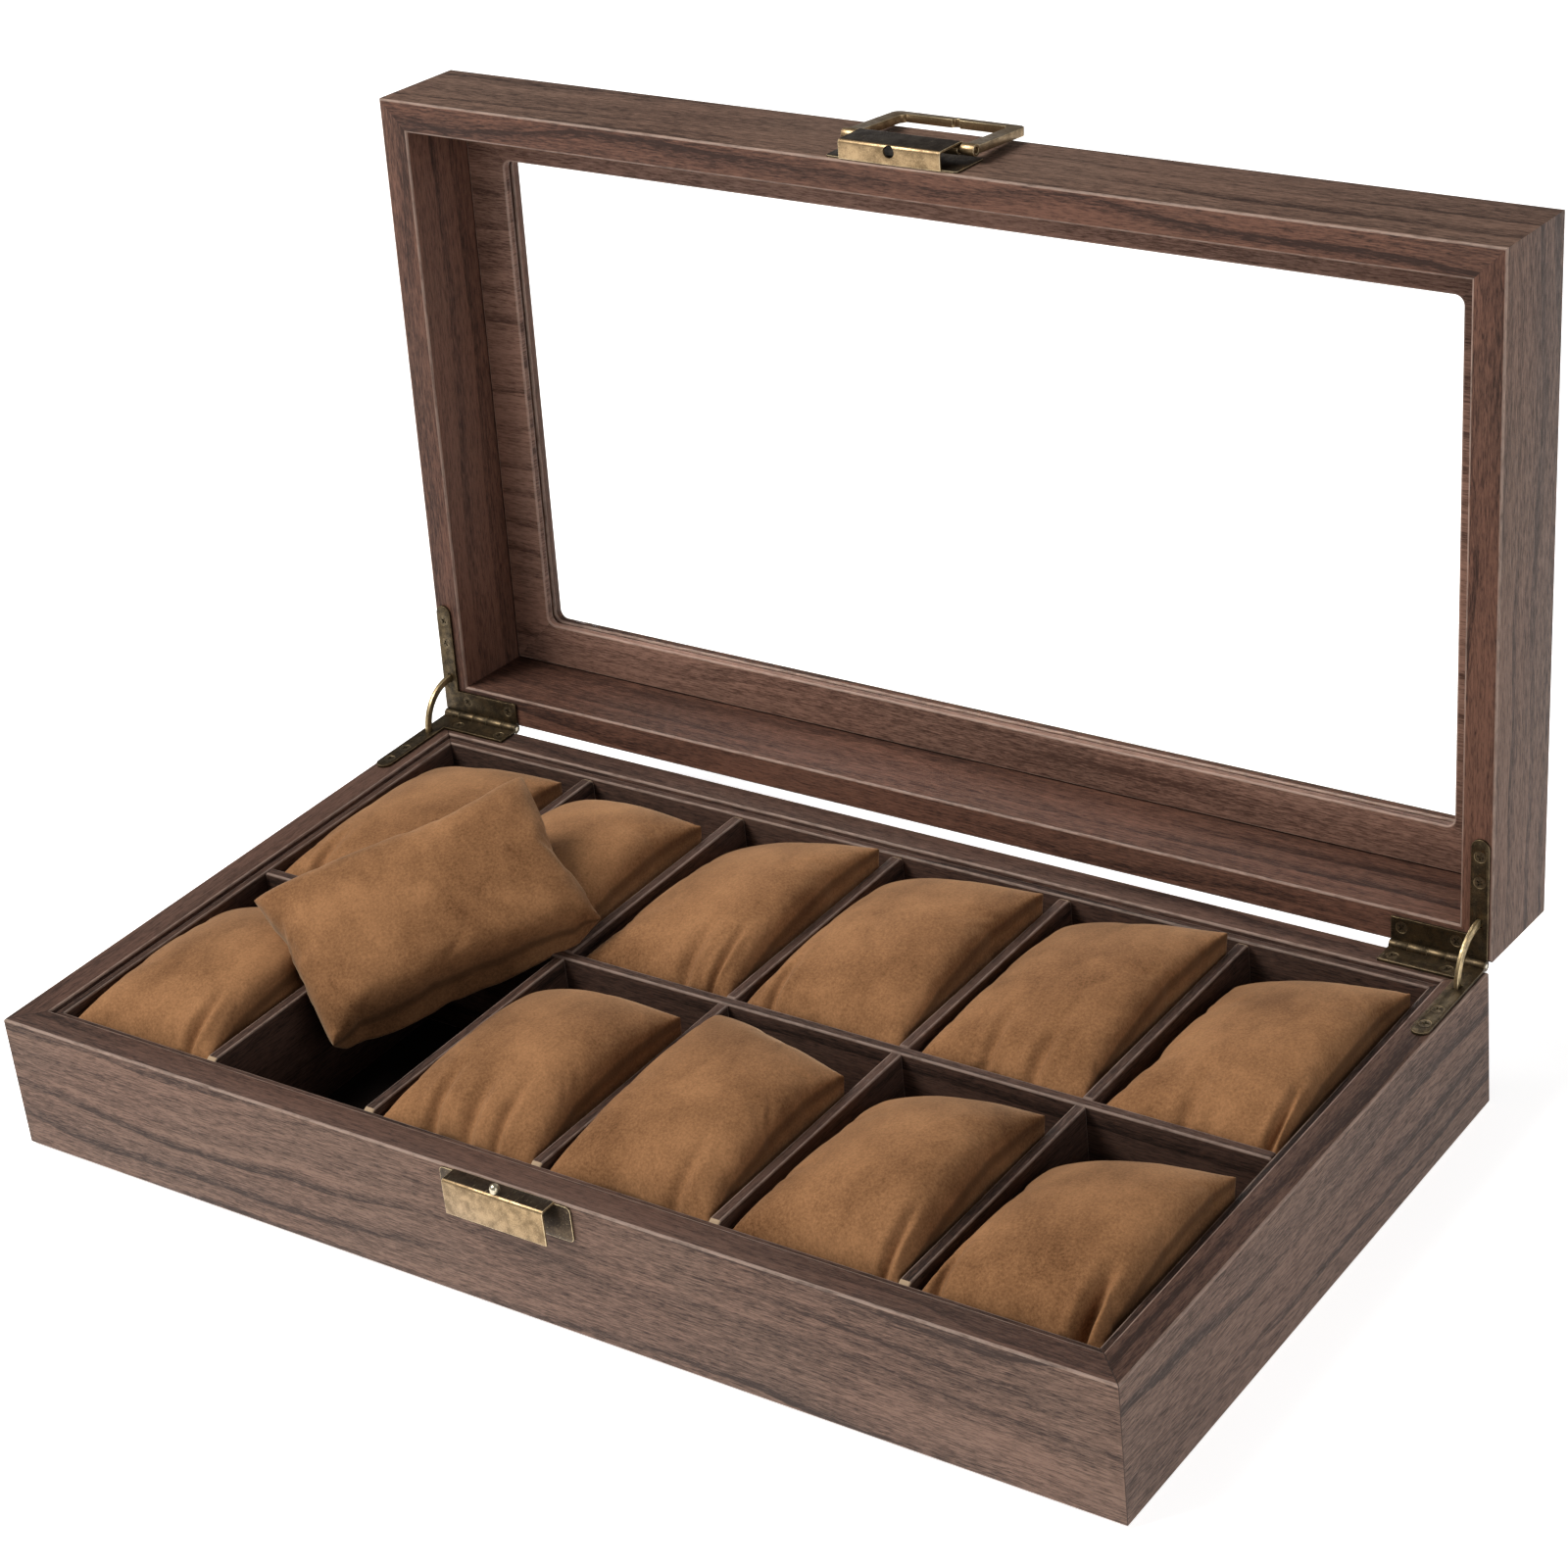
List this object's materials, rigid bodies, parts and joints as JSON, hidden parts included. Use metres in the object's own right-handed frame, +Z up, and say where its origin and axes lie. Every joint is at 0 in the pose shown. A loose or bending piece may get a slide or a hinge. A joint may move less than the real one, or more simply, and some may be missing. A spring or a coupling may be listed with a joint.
{
  "type": "watch box",
  "caption": "Wooden watch box with compartments for watch pillows, a glazed lid on corner hinges with curved stays, and a flip-over bail latch; lid open, one pillow lying on top.",
  "frame": {"origin": "centre of the box's underside", "axes": "+X to the box's right as its front is faced, -Y out of the front with the latch, +Z up"},
  "size_m": [0.33, 0.2338, 0.2272],
  "materials": {
    "wall_wrap": "walnut-grain wrap, satin, grey-brown with dark wavy streaks and fine pores",
    "insert_wrap": "walnut-grain wrap, satin, warm dark brown",
    "bottom_board": "board, dark brown",
    "floor_lining": "flocked lining, dark brown, matte",
    "felt": "felt, dark brown, matte",
    "hinge_metal": "antique brass plating, dark, worn bright at edges",
    "stay_metal": "antique brass plating, rubbed",
    "latch_metal": "antique brass plating, mottled, worn bright at edges",
    "pin_metal": "brass, rubbed bright",
    "glass": "clear float glass",
    "suede": "camel-brown faux suede with soft nap"
  },
  "bodies": {
    "base": {"base_front_wall": "wall_wrap", "base_back_wall": "wall_wrap", "base_left_wall": "wall_wrap", "base_right_wall": "wall_wrap", "base_floor": "bottom_board", "floor_lining": "floor_lining", "underside_felt": "felt", "liner_front": "insert_wrap", "liner_back": "insert_wrap", "liner_left": "insert_wrap", "liner_right": "insert_wrap", "long_divider": "insert_wrap", "cross_divider_1": "insert_wrap", "cross_divider_2": "insert_wrap", "cross_divider_3": "insert_wrap", "cross_divider_4": "insert_wrap", "cross_divider_5": "insert_wrap", "hinge_base_leaf_left": "hinge_metal", "hinge_base_leaf_right": "hinge_metal", "hinge_pin_left": "pin_metal", "hinge_pin_right": "pin_metal", "hinge_screws_base": "pin_metal", "latch_catch": "latch_metal", "latch_guide_pin": "pin_metal", "latch_catch_nails": "pin_metal"},
    "lid": {"lid_front_rail": "wall_wrap", "lid_back_rail": "wall_wrap", "lid_left_rail": "wall_wrap", "lid_right_rail": "wall_wrap", "glass_pane": "glass", "glass_retainer": "insert_wrap", "hinge_lid_leaf_left": "hinge_metal", "hinge_lid_leaf_right": "hinge_metal", "hinge_screws_lid": "pin_metal", "latch_case": "latch_metal", "latch_bail_pin": "pin_metal", "latch_case_nails": "pin_metal"},
    "bail": {"latch_bail": "latch_metal"},
    "stay_left": {"hinge_stay_left": "stay_metal"},
    "stay_right": {"hinge_stay_right": "stay_metal"},
    "pillow_front_1": {"pillow_front_1": "suede"},
    "pillow_front_3": {"pillow_front_3": "suede"},
    "pillow_front_4": {"pillow_front_4": "suede"},
    "pillow_front_5": {"pillow_front_5": "suede"},
    "pillow_front_6": {"pillow_front_6": "suede"},
    "pillow_back_1": {"pillow_back_1": "suede"},
    "pillow_back_2": {"pillow_back_2": "suede"},
    "pillow_back_3": {"pillow_back_3": "suede"},
    "pillow_back_4": {"pillow_back_4": "suede"},
    "pillow_back_5": {"pillow_back_5": "suede"},
    "pillow_back_6": {"pillow_back_6": "suede"},
    "pillow_loose": {"pillow_loose": "suede"}
  },
  "joints": [
    {"name": "lid_hinge", "type": "hinge", "parent": "base", "child": "lid", "pos_m": [0, 0.0916, 0.0397], "axis": [-1, 0, 0], "range_deg": [-93.4, 0], "deforming": ["pillow_loose"]},
    {"name": "bail_hinge", "type": "hinge", "parent": "lid", "child": "bail", "pos_m": [0, 0.11332, 0.22489], "axis": [-1, 0, 0], "range_deg": [-183.5, 0]},
    {"name": "stay_left_turn", "type": "hinge", "parent": "base", "child": "stay_left", "pos_m": [0, 0.0916, 0.0397], "axis": [-1, 0, 0], "range_deg": [-46.7, 0]},
    {"name": "stay_right_turn", "type": "hinge", "parent": "base", "child": "stay_right", "pos_m": [0, 0.0916, 0.0397], "axis": [-1, 0, 0], "range_deg": [-46.7, 0]},
    {"name": "pillow_loose_lift", "type": "slide", "parent": "base", "child": "pillow_loose", "axis": [0, 0, 1], "range_m": [0, 0.12]},
    {"name": "pillow_front_1_lift", "type": "slide", "parent": "base", "child": "pillow_front_1", "axis": [0, 0, 1], "range_m": [0, 0.06]},
    {"name": "pillow_front_3_lift", "type": "slide", "parent": "base", "child": "pillow_front_3", "axis": [0, 0, 1], "range_m": [0, 0.06]},
    {"name": "pillow_front_4_lift", "type": "slide", "parent": "base", "child": "pillow_front_4", "axis": [0, 0, 1], "range_m": [0, 0.06]},
    {"name": "pillow_front_5_lift", "type": "slide", "parent": "base", "child": "pillow_front_5", "axis": [0, 0, 1], "range_m": [0, 0.06]},
    {"name": "pillow_front_6_lift", "type": "slide", "parent": "base", "child": "pillow_front_6", "axis": [0, 0, 1], "range_m": [0, 0.06]},
    {"name": "pillow_back_1_lift", "type": "slide", "parent": "base", "child": "pillow_back_1", "axis": [0, 0, 1], "range_m": [0, 0.06]},
    {"name": "pillow_back_2_lift", "type": "slide", "parent": "base", "child": "pillow_back_2", "axis": [0, 0, 1], "range_m": [0, 0.06]},
    {"name": "pillow_back_3_lift", "type": "slide", "parent": "base", "child": "pillow_back_3", "axis": [0, 0, 1], "range_m": [0, 0.06]},
    {"name": "pillow_back_4_lift", "type": "slide", "parent": "base", "child": "pillow_back_4", "axis": [0, 0, 1], "range_m": [0, 0.06]},
    {"name": "pillow_back_5_lift", "type": "slide", "parent": "base", "child": "pillow_back_5", "axis": [0, 0, 1], "range_m": [0, 0.06]},
    {"name": "pillow_back_6_lift", "type": "slide", "parent": "base", "child": "pillow_back_6", "axis": [0, 0, 1], "range_m": [0, 0.06]}
  ],
  "couplings": [
    {"joint": "stay_left_turn", "follows": "lid_hinge", "ratio": 0.5},
    {"joint": "stay_right_turn", "follows": "lid_hinge", "ratio": 0.5},
    {"joint": "pillow_front_1_lift", "follows": "pillow_loose_lift", "ratio": 0.5},
    {"joint": "pillow_back_2_lift", "follows": "pillow_loose_lift", "ratio": 0.5},
    {"joint": "pillow_back_3_lift", "follows": "pillow_loose_lift", "ratio": 0.5}
  ]
}
